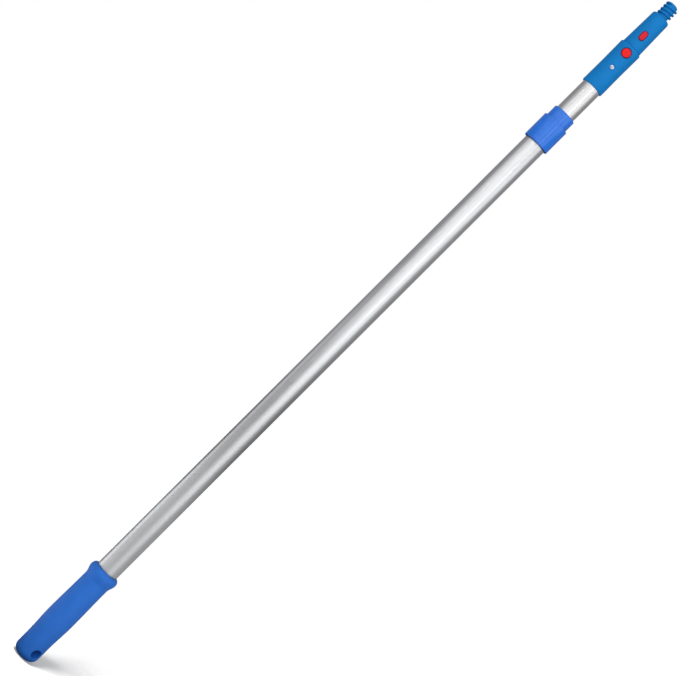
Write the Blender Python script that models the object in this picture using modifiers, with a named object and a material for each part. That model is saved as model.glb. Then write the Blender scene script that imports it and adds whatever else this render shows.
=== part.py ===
"""Two-section telescopic window-cleaning pole with a threaded tool cone and two push catches.

Metres, +Z up. The pole stands on its butt: the pole's axis is Z, and z = 0 is the butt's flat.
Turned pieces lie on that axis. The buttons and the front rivet face the FRONT side, and the
hanging hole runs along Y. The pole is closed here, and its lock nut is slack.
"""

import math

import bmesh
import bpy
from mathutils import Matrix

MM = 0.001
SEGMENTS = 32
FRONT = math.radians(225.0)
BACK = FRONT + math.pi
SIDES = {"left": FRONT - math.pi / 2, "right": FRONT + math.pi / 2}

# Clearances
TOUCH = 0.3 * MM  # between pieces that rest on, or sit fixed in, each other
SLIDE = 0.35 * MM  # round a piece that slides or turns in another

# Tubes: the inner tube's diameter drives every other round size
INNER_OD = 26.5 * MM
INNER_WALL = 1.0 * MM
TUBE_SPACE = 0.75 * MM  # radial space between the two tubes
OUTER_WALL = 1.0 * MM
OUTER_LENGTH = 870.5 * MM
TAIL_GAP = 87.5 * MM  # from the outer tube's lower end up to the inner tube's, pole closed
CLOSED_SHOW = 46.2 * MM  # inner tube that shows between nut and socket, pole closed
STOP_RISE = 86.5 * MM  # from the inner tube's lower end up to the stop bead's upper edge
TRAVEL = OUTER_LENGTH - TAIL_GAP - STOP_RISE  # pull-out, till the bead meets the collet sleeve

# Hand grip: wall over the outer tube at each station
GRIP_LENGTH = 147.0 * MM
GRIP_WAIST_Z = 25.0 * MM
GRIP_BELLY_Z = 66.0 * MM
GRIP_NECK_DROP = 19.0 * MM  # below the mouth
GRIP_BEAD_DROP = 6.3 * MM
GRIP_WAIST_WALL = 1.8 * MM
GRIP_BELLY_WALL = 3.1 * MM
GRIP_NECK_WALL = 2.35 * MM
GRIP_BEAD_WALL = 5.2 * MM
GRIP_MOUTH_WALL = 0.9 * MM
BUTT_ROUND = 11.0 * MM
HANG_HOLE_D = 13.5 * MM
HANG_HOLE_Z = 15.3 * MM
HANG_HOLE_ROOF = 5.0 * MM
END_PLUG_FLANGE = 1.5 * MM
END_PLUG_DEPTH = 12.0 * MM
END_PLUG_WALL = 1.5 * MM

# Twist lock on the outer tube's upper end
SLEEVE_SKIRT = 9.6 * MM
SLEEVE_WALL = 1.1 * MM
LOCK_PITCH = 3.0 * MM
LOCK_TURNS = 2.75
LOCK_START = 2.1 * MM  # plain neck below the first ridge's middle
LOCK_RUNOUT = 2.15 * MM  # and above the last one's
SLEEVE_NECK = LOCK_START + LOCK_TURNS * LOCK_PITCH + LOCK_RUNOUT
LOCK_RIDGE_HEIGHT = 0.8 * MM
LOCK_RIDGE_CREST = 0.8 * MM
LOCK_RIDGE_FLANK = 0.3 * MM
LOCK_SEGMENTS = 24
RIDGE_SUNK = 0.4  # a ridge's foot below the wall's surface, as a share of the ridge's height
RIDGE_START = math.radians(1.7)  # keeps a ridge's corners off the wall's own edges
LOCK_TURN_DEG = 150.0
SLEEVE_RIVET_D = 3.2 * MM
SLEEVE_RIVET_DROP = 5.2 * MM
RING_HEIGHT = 10.5 * MM
RING_CONE = 6.5 * MM
RING_CONE_FALL = 2.0 * MM
RING_SLIT = 2.5 * MM
NUT_WALL = 1.3 * MM
NUT_NOSE = 15.5 * MM
NUT_STEP_DROP = 1.65 * MM  # barrel's upper edge below the squeeze ring's top
NUT_DROP = 12.1 * MM  # barrel's lower edge below the outer tube's end
NUT_NOSE_WALL = 2.0 * MM
NUT_CHAMFER = 0.8 * MM
NUT_NOSE_CHAMFER = 1.0 * MM

# Tail of the inner tube
TAIL_PLUG_DEPTH = 25.0 * MM
TAIL_PLUG_WALL = 1.9 * MM
TAIL_FLANGE = 1.8 * MM
TAIL_FLANGE_INSET = 0.25 * MM
GUIDE_WIDTH = 10.4 * MM
GUIDE_SEAT_WALL = 1.9 * MM
GUIDE_SLIT = 2.0 * MM
TAIL_NOSE = 2.0 * MM
BEAD_HEIGHT = 0.45 * MM
BEAD_WIDTH = 4.0 * MM

# Socket on the inner tube's upper end
SOCKET_DEPTH = 43.0 * MM  # of the inner tube's end in it
SOCKET_END_WALL = 1.7 * MM
SOCKET_WAIST_WALL = 1.45 * MM
SOCKET_BORE_STEP = 0.95 * MM
SOCKET_ROUND = 1.6 * MM
SOCKET_RIVET_Z = 32.8 * MM
SOCKET_RIVET_D = 3.2 * MM
SOCKET_RIVET_HEAD_D = 5.8 * MM
SOCKET_RIVET_RECESS_D = 7.6 * MM
SOCKET_RIVET_RECESS = 0.65 * MM
SOCKET_RIVET_DOME = 1.1 * MM
SOCKET_RIVET_BULB_D = 4.8 * MM

# Tool cone with its threaded tip, a standard 3/4 inch, 5 turns an inch
CONE_LENGTH = 53.0 * MM
CONE_BASE_STEP = 1.3 * MM
CONE_TAPER = 1.2 * MM
CONE_CHAMFER = 2.5 * MM
SPIGOT_LENGTH = 22.7 * MM
SPIGOT_GAP = 2.3 * MM  # between the inner tube's end and the spigot's
SPIGOT_WALL = 1.8 * MM
TIP_LENGTH = 21.5 * MM
TIP_MAJOR_D = 19.05 * MM
TIP_PITCH = 5.08 * MM
TIP_ROOT_D = 14.2 * MM
TIP_CREST = 1.88 * MM
TIP_TURNS = 3.55
TIP_SEGMENTS = 24
TIP_FLANK = math.radians(14.5)
TIP_CORE_D = 7.0 * MM
TIP_ROUND = 2.6 * MM
TIP_LEAD = 3.64 * MM  # length over which the thread's start is rounded off
TIP_CAP = 6.0 * MM
CONE_HOLLOW = 38.0 * MM

# Push buttons, measured outwards from the pole's axis
RELEASE_DROP = 10.7 * MM  # below the cone's lower edge
RELEASE_D = 12.2 * MM
RELEASE_PROUD = 0.9 * MM
RELEASE_DOME = 1.1 * MM
CATCH_Z = 19.0 * MM  # above the cone's lower edge
CATCH_LENGTH = 12.6 * MM
CATCH_WIDTH = 6.9 * MM
CATCH_PROUD = 1.0 * MM
CATCH_ROUND = 0.9 * MM
BUTTON_FLANGE = 1.5 * MM
BUTTON_LIP = 1.2 * MM
BUTTON_DISH = 1.0 * MM
BUTTON_DISH_DEPTH = 0.7 * MM
SPRING_WIRE_D = 0.6 * MM
RELEASE_SPRING_D = 5.0 * MM
CATCH_SPRING_D = 3.8 * MM
SPRING_TURNS = 5
SPRING_STEPS = 8
SPRING_ROOF = 4.8 * MM  # from a button's top down to the roof of its spring pocket
CARRIER_FACE = 1.0 * MM  # behind the pole's axis
CARRIER_MARGIN = 8.0 * MM
PEG_HEIGHT = 2.0 * MM

# Radii that follow
inner_r = INNER_OD / 2
inner_bore_r = inner_r - INNER_WALL
outer_bore_r = inner_r + TUBE_SPACE
outer_r = outer_bore_r + OUTER_WALL
grip_bore_r = outer_r + TOUCH
sleeve_bore_r = inner_r + TOUCH
sleeve_r = outer_r + TOUCH + SLEEVE_WALL
sleeve_root_r = sleeve_r - LOCK_RIDGE_HEIGHT
nut_bore_r = sleeve_r + TOUCH
nut_r = nut_bore_r + NUT_WALL
nut_nose_bore_r = inner_r + SLIDE
nut_nose_r = nut_nose_bore_r + NUT_NOSE_WALL
socket_bore_r = inner_r + TOUCH
spigot_bore_r = socket_bore_r - SOCKET_BORE_STEP
spigot_r = spigot_bore_r - TOUCH
hollow_r = spigot_r - SPIGOT_WALL
cone_base_r = spigot_r + CONE_BASE_STEP
cone_top_r = cone_base_r - CONE_TAPER

# Heights that follow
grip_floor_z = HANG_HOLE_Z + HANG_HOLE_D / 2 + HANG_HOLE_ROOF
end_plug_z = grip_floor_z + TOUCH
outer_z = end_plug_z + END_PLUG_FLANGE + TOUCH
outer_top_z = outer_z + OUTER_LENGTH
sleeve_top_z = outer_top_z + TOUCH + SLEEVE_NECK
lock_drop = LOCK_PITCH * LOCK_TURN_DEG / 360.0
ring_z = sleeve_top_z + TOUCH + lock_drop
nut_z = outer_top_z - NUT_DROP
nut_barrel = ring_z + RING_HEIGHT - NUT_STEP_DROP - nut_z
nut_top_z = nut_z + nut_barrel + NUT_NOSE
socket_z = nut_top_z + CLOSED_SHOW
inner_top_z = socket_z + SOCKET_DEPTH
inner_z = outer_z + TAIL_GAP
stop_z = outer_top_z - TRAVEL
spigot_top_z = inner_top_z + SPIGOT_GAP + SPIGOT_LENGTH
socket_length = spigot_top_z - TOUCH - socket_z
release_z = spigot_top_z - RELEASE_DROP
catch_z = spigot_top_z + CATCH_Z


def linear(hex_colour):
    """Scene-linear RGBA of an sRGB hex colour."""
    channels = [int(hex_colour[i : i + 2], 16) / 255.0 for i in (0, 2, 4)]
    toned = [c / 12.92 if c <= 0.04045 else ((c + 0.055) / 1.055) ** 2.4 for c in channels]
    return (*toned, 1.0)


def material(name, colour, roughness, metallic=0.0):
    made = bpy.data.materials.new(name)
    made.use_nodes = True
    shader = made.node_tree.nodes["Principled BSDF"]
    shader.inputs["Base Color"].default_value = linear(colour)
    shader.inputs["Roughness"].default_value = roughness
    shader.inputs["Metallic"].default_value = metallic
    return made


def clear_scene():
    for obj in list(bpy.data.objects):
        bpy.data.objects.remove(obj, do_unlink=True)


def new_collection(name):
    made = bpy.data.collections.new(name)
    bpy.context.scene.collection.children.link(made)
    return made


clear_scene()
PARTS = new_collection("telescopic_pole")
CUTTERS = new_collection("cutters")


def section_empty(name, z):
    """An empty on the pole's axis that the pieces of one section hang from."""
    empty = bpy.data.objects.new(name, None)
    empty.location = (0.0, 0.0, z)
    PARTS.objects.link(empty)
    return empty


OUTER_SECTION = section_empty("outer_section_axis", 0.0)
LOCK_SECTION = section_empty("lock_axis", nut_z)
INNER_SECTION = section_empty("inner_section_axis", inner_z)


def on_axis(obj, z, section):
    """Stands a piece on the pole's axis, its own z = 0 at height z."""
    obj.parent = section
    obj.location = (0.0, 0.0, z - section.location.z)
    return obj


def facing(obj, z, section, side):
    """Points a piece's own +Z straight out of the pole at height z, on the given side."""
    on_axis(obj, z, section)
    obj.rotation_euler = (0.0, math.radians(90.0), side)
    return obj


def keep(obj, look):
    """Makes an object a part with its own material."""
    PARTS.objects.link(obj)
    obj.data.materials.append(look)
    return obj


def helper(obj):
    """Makes an object a cutter or another hidden shape that a Boolean reads."""
    CUTTERS.objects.link(obj)
    obj.hide_render = True
    obj.display_type = "WIRE"
    return obj


def boolean(target, other, operation="DIFFERENCE"):
    modifier = target.modifiers.new(other.name, "BOOLEAN")
    modifier.operation = operation
    modifier.solver = "EXACT"
    modifier.object = other


def arc(centre_r, centre_z, radius_r, radius_z, start, end, steps):
    """Points on an ellipse's arc in the (r, z) plane, angles in degrees from +r towards +z."""
    points = []
    for step in range(steps + 1):
        angle = math.radians(start + (end - start) * step / steps)
        points.append((centre_r + radius_r * math.cos(angle), centre_z + radius_z * math.sin(angle)))
    return points


def eased(start, end, steps):
    """Points from start to end that leave and arrive level, without the end point."""
    points = []
    for step in range(steps):
        share = (1.0 - math.cos(math.pi * step / steps)) / 2.0
        z = start[1] + (end[1] - start[1]) * step / steps
        points.append((start[0] + (end[0] - start[0]) * share, z))
    return points


def turned(name, profile, closed, segments=SEGMENTS):
    """A piece turned from an (r, z) outline that runs down its outer side.

    A closed outline makes a ring. An open one starts and ends on the axis.
    """
    mesh = bpy.data.meshes.new(name)
    bm = bmesh.new()
    verts = [bm.verts.new((r, 0.0, z)) for r, z in profile]
    ends = verts[1:] + verts[:1] if closed else verts[1:]
    for here, there in zip(verts, ends):
        bm.edges.new((here, there))
    bm.to_mesh(mesh)
    bm.free()
    obj = bpy.data.objects.new(name, mesh)
    screw = obj.modifiers.new("turn", "SCREW")
    screw.steps = segments
    screw.render_steps = segments
    screw.use_merge_vertices = True
    screw.merge_threshold = 0.00001
    return obj


def cylinder(name, radius, low, high, segments=SEGMENTS):
    mesh = bpy.data.meshes.new(name)
    bm = bmesh.new()
    middle = Matrix.Translation((0.0, 0.0, (low + high) / 2))
    bmesh.ops.create_cone(
        bm, cap_ends=True, segments=segments, radius1=radius, radius2=radius,
        depth=high - low, matrix=middle,
    )
    bm.to_mesh(mesh)
    bm.free()
    return bpy.data.objects.new(name, mesh)


def stadium(name, length, width, low, high, segments=24):
    """An upright cylinder whose two halves are pulled apart along X into a slot shape."""
    obj = cylinder(name, width / 2, low, high, segments)
    pull = (length - width) / 2
    for vertex in obj.data.vertices:
        if abs(vertex.co.x) > width * 0.01:
            vertex.co.x += math.copysign(pull, vertex.co.x)
    return obj


def box(name, size, centre):
    mesh = bpy.data.meshes.new(name)
    bm = bmesh.new()
    place = Matrix.Translation(centre) @ Matrix.Diagonal((*size, 1.0))
    bmesh.ops.create_cube(bm, size=1.0, matrix=place)
    bm.to_mesh(mesh)
    bm.free()
    return bpy.data.objects.new(name, mesh)


def ridge(name, outline, pitch, turns, segments):
    """A thread's ridge: its closed (r, z) outline swept up a right-hand helix."""
    mesh = bpy.data.meshes.new(name)
    bm = bmesh.new()
    face = bm.faces.new([bm.verts.new((r, 0.0, z)) for r, z in outline])
    steps = round(turns * segments)
    bmesh.ops.spin(
        bm, geom=[face, *face.verts, *face.edges], cent=(0.0, 0.0, 0.0), axis=(0.0, 0.0, 1.0),
        dvec=(0.0, 0.0, pitch / segments), angle=2.0 * math.pi * steps / segments, steps=steps,
    )
    turn = Matrix.Rotation(RIDGE_START, 3, "Z")
    bmesh.ops.rotate(bm, verts=bm.verts, cent=(0.0, 0.0, 0.0), matrix=turn)
    bmesh.ops.recalc_face_normals(bm, faces=bm.faces)
    bm.to_mesh(mesh)
    bm.free()
    return bpy.data.objects.new(name, mesh)


def coil(name, diameter, low, high, look):
    """A compression spring along its own Z, its first and last turn wound close."""
    middle_r = (diameter - SPRING_WIRE_D) / 2
    close = SPRING_WIRE_D * 1.2
    bottom = low + SPRING_WIRE_D / 2
    top = high - SPRING_WIRE_D / 2
    stretch = (top - bottom - 2 * close) / (SPRING_TURNS - 2)
    count = SPRING_TURNS * SPRING_STEPS
    curve = bpy.data.curves.new(name, "CURVE")
    curve.dimensions = "3D"
    spline = curve.splines.new("POLY")
    spline.points.add(count)
    for index, point in enumerate(spline.points):
        turn = index / SPRING_STEPS
        open_turns = min(max(turn - 1.0, 0.0), SPRING_TURNS - 2.0)
        z = bottom + open_turns * stretch + (turn - open_turns) * close
        angle = 2.0 * math.pi * turn
        point.co = (middle_r * math.cos(angle), middle_r * math.sin(angle), z, 1.0)
    curve.bevel_depth = SPRING_WIRE_D / 2
    curve.bevel_resolution = 2
    curve.use_fill_caps = True
    return keep(bpy.data.objects.new(name, curve), look)


# Hand grip: soft moulding over the outer tube, with a cross hole to hang the pole by
def handle_grip():
    waist_r = grip_bore_r + GRIP_WAIST_WALL
    belly_r = grip_bore_r + GRIP_BELLY_WALL
    neck_r = grip_bore_r + GRIP_NECK_WALL
    bead_r = grip_bore_r + GRIP_BEAD_WALL
    mouth_r = grip_bore_r + GRIP_MOUTH_WALL
    neck_z = GRIP_LENGTH - GRIP_NECK_DROP
    bead_z = GRIP_LENGTH - GRIP_BEAD_DROP
    profile = [(0.0, grip_floor_z), (grip_bore_r, grip_floor_z), (grip_bore_r, GRIP_LENGTH)]
    profile += arc(mouth_r, bead_z, bead_r - mouth_r, GRIP_BEAD_DROP, 90.0, 15.0, 5)
    profile += eased((bead_r, bead_z), (neck_r, neck_z), 5)
    profile += eased((neck_r, neck_z), (belly_r, GRIP_BELLY_Z), 5)
    profile += eased((belly_r, GRIP_BELLY_Z), (waist_r, GRIP_WAIST_Z), 5)
    profile += [(waist_r, GRIP_WAIST_Z)]
    profile += arc(waist_r - BUTT_ROUND, BUTT_ROUND, BUTT_ROUND, BUTT_ROUND, 0.0, -90.0, 6)
    profile += [(0.0, 0.0)]
    grip = keep(turned("handle_grip", profile, closed=False), material("grip_blue", "2E6CC8", 0.55))
    on_axis(grip, 0.0, OUTER_SECTION)
    hole = helper(cylinder("hang_hole_cutter", HANG_HOLE_D / 2, -2 * belly_r, 2 * belly_r, 32))
    hole.rotation_euler = (math.radians(90.0), 0.0, 0.0)
    hole.location = (0.0, 0.0, HANG_HOLE_Z)
    boolean(grip, hole)


# End plug: keeps the tube's cut edge from working through the soft grip
def tube_end_plug():
    radius = outer_bore_r - TOUCH
    inside = radius - END_PLUG_WALL
    top = END_PLUG_FLANGE + END_PLUG_DEPTH
    profile = [
        (0.0, END_PLUG_FLANGE + END_PLUG_WALL),
        (inside, END_PLUG_FLANGE + END_PLUG_WALL),
        (inside, top),
        (radius - END_PLUG_WALL / 3, top),
        (radius, top - END_PLUG_WALL / 3),
        (radius, END_PLUG_FLANGE),
        (outer_r, END_PLUG_FLANGE),
        (outer_r, 0.0),
        (0.0, 0.0),
    ]
    look = material("end_plug_black", "1C1D1F", 0.6)
    on_axis(keep(turned("tube_end_plug", profile, closed=False), look), end_plug_z, OUTER_SECTION)


def sleeve_rivet_holes(target):
    """Drills the two rivet holes of the collet sleeve through a piece of the outer section."""
    for side, turn in SIDES.items():
        radius = SLEEVE_RIVET_D / 2 + TOUCH
        name = f"{target.name}_rivet_{side}_cutter"
        drill = helper(cylinder(name, radius, outer_bore_r / 2, 2 * outer_r, 20))
        facing(drill, outer_top_z - SLEEVE_RIVET_DROP, OUTER_SECTION, turn)
        boolean(target, drill)


# Outer tube: drawn aluminium
def outer_tube():
    profile = [
        (outer_r, OUTER_LENGTH),
        (outer_r, 0.0),
        (outer_bore_r, 0.0),
        (outer_bore_r, OUTER_LENGTH),
    ]
    look = material("outer_tube_aluminium", "B9BABC", 0.35, 1.0)
    tube = on_axis(keep(turned("outer_tube", profile, closed=True), look), outer_z, OUTER_SECTION)
    sleeve_rivet_holes(tube)


def thread_outline(root_r, crest_r, z, crest, flank):
    """A ridge's four corners round height z, its foot sunk into the wall that carries it."""
    sunk_r = root_r - (crest_r - root_r) * RIDGE_SUNK
    foot = crest + flank * (1.0 + RIDGE_SUNK)
    return [(sunk_r, z - foot), (crest_r, z - crest), (crest_r, z + crest), (sunk_r, z + foot)]


# Collet sleeve: moulded nylon, riveted over the tube's end, threaded for the nut
def collet_sleeve():
    shoulder = SLEEVE_SKIRT + TOUCH
    top = shoulder + SLEEVE_NECK
    chamfer = LOCK_RIDGE_HEIGHT
    profile = [
        (sleeve_root_r, top),
        (sleeve_root_r, shoulder + chamfer),
        (sleeve_r, shoulder),
        (sleeve_r, chamfer / 2),
        (sleeve_r - chamfer / 2, 0.0),
        (outer_r + TOUCH, 0.0),
        (outer_r + TOUCH, shoulder),
        (sleeve_bore_r, shoulder),
        (sleeve_bore_r, top - chamfer),
        (sleeve_bore_r + chamfer, top),
    ]
    look = material("collet_sleeve_nylon", "D9D9D4", 0.5)
    sleeve = keep(turned("collet_sleeve", profile, closed=True), look)
    on_axis(sleeve, outer_top_z - SLEEVE_SKIRT, OUTER_SECTION)
    first_z = shoulder + LOCK_START
    crest = LOCK_RIDGE_CREST / 2
    outline = thread_outline(sleeve_root_r, sleeve_r, first_z, crest, LOCK_RIDGE_FLANK)
    thread = helper(ridge("sleeve_thread", outline, LOCK_PITCH, LOCK_TURNS, LOCK_SEGMENTS))
    on_axis(thread, outer_top_z - SLEEVE_SKIRT, OUTER_SECTION)
    boolean(sleeve, thread, "UNION")
    sleeve_rivet_holes(sleeve)
    return outer_top_z - SLEEVE_SKIRT + first_z


def sleeve_rivets():
    look = material("sleeve_rivet_aluminium", "9A9C9F", 0.35, 1.0)
    for side, turn in SIDES.items():
        inner_end = outer_bore_r + TOUCH / 2
        outer_end = sleeve_r - TOUCH
        name = f"sleeve_rivet_{side}"
        rivet = keep(cylinder(name, SLEEVE_RIVET_D / 2, inner_end, outer_end, 20), look)
        facing(rivet, outer_top_z - SLEEVE_RIVET_DROP, OUTER_SECTION, turn)


# Squeeze ring: split ring that the nut's cone closes on to the inner tube
def squeeze_ring():
    bore_r = inner_r + SLIDE
    chamfer = LOCK_RIDGE_HEIGHT
    profile = [
        (sleeve_r - RING_CONE_FALL, RING_HEIGHT),
        (sleeve_r, RING_HEIGHT - RING_CONE),
        (sleeve_r, chamfer),
        (sleeve_r - chamfer, 0.0),
        (bore_r, 0.0),
        (bore_r, RING_HEIGHT),
    ]
    look = material("squeeze_ring_acetal", "E8E8E4", 0.4)
    ring = on_axis(keep(turned("squeeze_ring", profile, closed=True), look), ring_z, LOCK_SECTION)
    slit_size = (RING_SLIT, 2 * sleeve_r, 4 * RING_HEIGHT)
    slit = helper(box("squeeze_ring_slit", slit_size, (0.0, sleeve_r, 0.0)))
    boolean(ring, on_axis(slit, ring_z, LOCK_SECTION))


# Lock nut: moulded collar, a threaded barrel below and a stepped-down nose above
def lock_nut(sleeve_ridge_z):
    top = nut_barrel + NUT_NOSE
    cone_z = ring_z + RING_HEIGHT - RING_CONE - nut_z
    shoulder_z = ring_z + RING_HEIGHT + TOUCH - nut_z
    profile = [
        (nut_nose_bore_r, top),
        (nut_nose_r - NUT_NOSE_CHAMFER, top),
        (nut_nose_r, top - NUT_NOSE_CHAMFER),
        (nut_nose_r, nut_barrel),
        (nut_r - NUT_CHAMFER / 2, nut_barrel),
        (nut_r, nut_barrel - NUT_CHAMFER / 2),
        (nut_r, NUT_CHAMFER),
        (nut_r - NUT_CHAMFER, 0.0),
        (nut_bore_r, 0.0),
        (nut_bore_r, cone_z),
        (nut_bore_r - RING_CONE_FALL, cone_z + RING_CONE),
        (nut_bore_r - RING_CONE_FALL, shoulder_z),
        (nut_nose_bore_r, shoulder_z),
    ]
    look = material("collar_blue", "2F6FE0", 0.35)
    nut = on_axis(keep(turned("lock_nut", profile, closed=True), look), nut_z, LOCK_SECTION)
    first_z = sleeve_ridge_z + LOCK_PITCH / 2 - nut_z
    crest = LOCK_RIDGE_CREST / 2
    crest_r = nut_bore_r - LOCK_RIDGE_HEIGHT
    outline = thread_outline(nut_bore_r, crest_r, first_z, crest, LOCK_RIDGE_FLANK)
    turns = LOCK_TURNS - 1.0
    thread = helper(ridge("nut_thread", outline, LOCK_PITCH, turns, LOCK_SEGMENTS))
    boolean(nut, on_axis(thread, nut_z, LOCK_SECTION), "UNION")


# Tail plug: closes the inner tube's lower end and carries the guide ring in its groove
def tail_plug():
    radius = inner_bore_r - TOUCH
    flange_r = inner_r - TAIL_FLANGE_INSET
    groove_r = flange_r - GUIDE_SEAT_WALL + TOUCH
    groove = GUIDE_WIDTH + 2 * TOUCH
    flange_z = TAIL_FLANGE + groove
    seat_z = flange_z + TAIL_FLANGE
    top = seat_z + TAIL_PLUG_DEPTH
    profile = [
        (0.0, seat_z),
        (radius - TAIL_PLUG_WALL, seat_z),
        (radius - TAIL_PLUG_WALL, top),
        (radius - TAIL_PLUG_WALL / 3, top),
        (radius, top - TAIL_PLUG_WALL / 3),
        (radius, seat_z),
        (flange_r, seat_z),
        (flange_r, flange_z),
        (groove_r, flange_z),
        (groove_r, TAIL_FLANGE),
        (flange_r, TAIL_FLANGE),
        (flange_r, 0.0),
        (flange_r - TAIL_NOSE / 2, -TAIL_NOSE),
        (0.0, -TAIL_NOSE),
    ]
    look = material("tail_plug_nylon", "26282B", 0.5)
    base_z = inner_z - TOUCH - seat_z
    on_axis(keep(turned("tail_plug", profile, closed=False), look), base_z, INNER_SECTION)
    return groove_r, base_z + TAIL_FLANGE + TOUCH


# Guide ring: split acetal ring that slides in the outer tube and turns in the plug's groove
def guide_ring(groove_r, z):
    bore_r = groove_r + TOUCH
    radius = outer_bore_r - TOUCH
    profile = [(radius, GUIDE_WIDTH), (radius, 0.0), (bore_r, 0.0), (bore_r, GUIDE_WIDTH)]
    look = material("guide_ring_acetal", "ECECE8", 0.4)
    ring = on_axis(keep(turned("guide_ring", profile, closed=True), look), z, INNER_SECTION)
    slit_size = (GUIDE_SLIT, 2 * radius, 4 * GUIDE_WIDTH)
    slit = helper(box("guide_ring_slit", slit_size, (0.0, radius, 0.0)))
    boolean(ring, on_axis(slit, z, INNER_SECTION))


# Inner tube: drawn aluminium with a rolled stop bead near its lower end
def inner_tube():
    length = inner_top_z - inner_z
    bead_z = stop_z - BEAD_WIDTH / 2 - inner_z
    bead = arc(inner_r, bead_z, BEAD_HEIGHT, BEAD_WIDTH / 2, 90.0, -90.0, 4)
    groove = [(r - INNER_WALL, z) for r, z in reversed(bead)]
    profile = [(inner_r, length), *bead, (inner_r, 0.0), (inner_bore_r, 0.0)]
    profile += [*groove, (inner_bore_r, length)]
    look = material("inner_tube_aluminium", "C4C4C4", 0.3, 1.0)
    tube = on_axis(keep(turned("inner_tube", profile, closed=True), look), inner_z, INNER_SECTION)
    for name, side in (("front", FRONT), ("back", BACK)):
        radius = SOCKET_RIVET_D / 2 + TOUCH
        drill = helper(cylinder(f"tube_rivet_{name}_cutter", radius, inner_r / 2, 2 * inner_r, 20))
        facing(drill, socket_z + SOCKET_RIVET_Z, INNER_SECTION, side)
        boolean(tube, drill)


def dish_cutter(name, radius, surface_r):
    """Cutter for a round window in a wall, dished where it meets the surface."""
    top = surface_r + 3 * BUTTON_DISH
    dish_r = radius + BUTTON_DISH
    profile = [
        (0.0, top),
        (dish_r + 2 * BUTTON_DISH, top),
        (dish_r, surface_r - BUTTON_DISH_DEPTH / 2),
        (radius, surface_r - BUTTON_DISH_DEPTH),
        (radius, hollow_r / 2),
        (0.0, hollow_r / 2),
    ]
    return helper(turned(name, profile, closed=False, segments=32))


# Adapter socket: moulded sleeve riveted on the inner tube's upper end; the cone plugs in
def adapter_socket():
    end_r = socket_bore_r + SOCKET_END_WALL
    waist_r = socket_bore_r + SOCKET_WAIST_WALL
    profile = [
        (spigot_bore_r, socket_length),
        (end_r - SOCKET_ROUND / 4, socket_length),
        (end_r, socket_length - SOCKET_ROUND / 4),
        *eased((end_r, socket_length - SOCKET_ROUND), (waist_r, socket_length / 2), 3),
        *eased((waist_r, socket_length / 2), (end_r, SOCKET_ROUND), 3),
        *arc(end_r - SOCKET_ROUND, SOCKET_ROUND, SOCKET_ROUND, SOCKET_ROUND, 0.0, -90.0, 3),
        (socket_bore_r, 0.0),
        (socket_bore_r, SOCKET_DEPTH + TOUCH),
        (spigot_bore_r, SOCKET_DEPTH + TOUCH),
    ]
    look = material("socket_blue", "1272CE", 0.35)
    socket = keep(turned("adapter_socket", profile, closed=True), look)
    on_axis(socket, socket_z, INNER_SECTION)
    window = dish_cutter("release_window_cutter", RELEASE_D / 2 + SLIDE, waist_r)
    boolean(socket, facing(window, release_z, INNER_SECTION, FRONT))
    recess_floor = waist_r - SOCKET_RIVET_RECESS
    for name, side in (("front", FRONT), ("back", BACK)):
        shank = SOCKET_RIVET_D / 2 + TOUCH
        top = 2 * waist_r
        steps = [
            (0.0, top),
            (SOCKET_RIVET_RECESS_D / 2, top),
            (SOCKET_RIVET_RECESS_D / 2, recess_floor),
            (shank, recess_floor),
            (shank, hollow_r),
            (0.0, hollow_r),
        ]
        drill = helper(turned(f"socket_rivet_{name}_cutter", steps, closed=False, segments=24))
        boolean(socket, facing(drill, socket_z + SOCKET_RIVET_Z, INNER_SECTION, side))
    return recess_floor, end_r


# Pop rivets: domed head outside, shank through socket and tube, set bulb inside
def socket_rivets(recess_floor):
    look = material("socket_rivet_aluminium", "C9CCD2", 0.25, 1.0)
    head_r = SOCKET_RIVET_HEAD_D / 2
    shank_r = SOCKET_RIVET_D / 2
    bulb_r = SOCKET_RIVET_BULB_D / 2
    under_head = recess_floor + TOUCH
    bulb_top = math.sqrt(inner_bore_r**2 - bulb_r**2) - TOUCH
    profile = arc(0.0, under_head, head_r, SOCKET_RIVET_DOME, 90.0, 0.0, 4)
    profile += [(shank_r, under_head), (shank_r, bulb_top)]
    profile += arc(0.0, bulb_top, bulb_r, bulb_r, 0.0, -90.0, 4)
    profile[0] = (0.0, under_head + SOCKET_RIVET_DOME)
    profile[-1] = (0.0, bulb_top - bulb_r)
    for name, side in (("front", FRONT), ("back", BACK)):
        rivet = keep(turned(f"socket_rivet_{name}", profile, closed=False, segments=24), look)
        facing(rivet, socket_z + SOCKET_RIVET_Z, INNER_SECTION, side)


def catch_surface_r():
    """Radius of the cone's side at the tool catch."""
    side = CONE_LENGTH - CONE_CHAMFER
    return cone_base_r - CONE_TAPER * CATCH_Z / side


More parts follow.
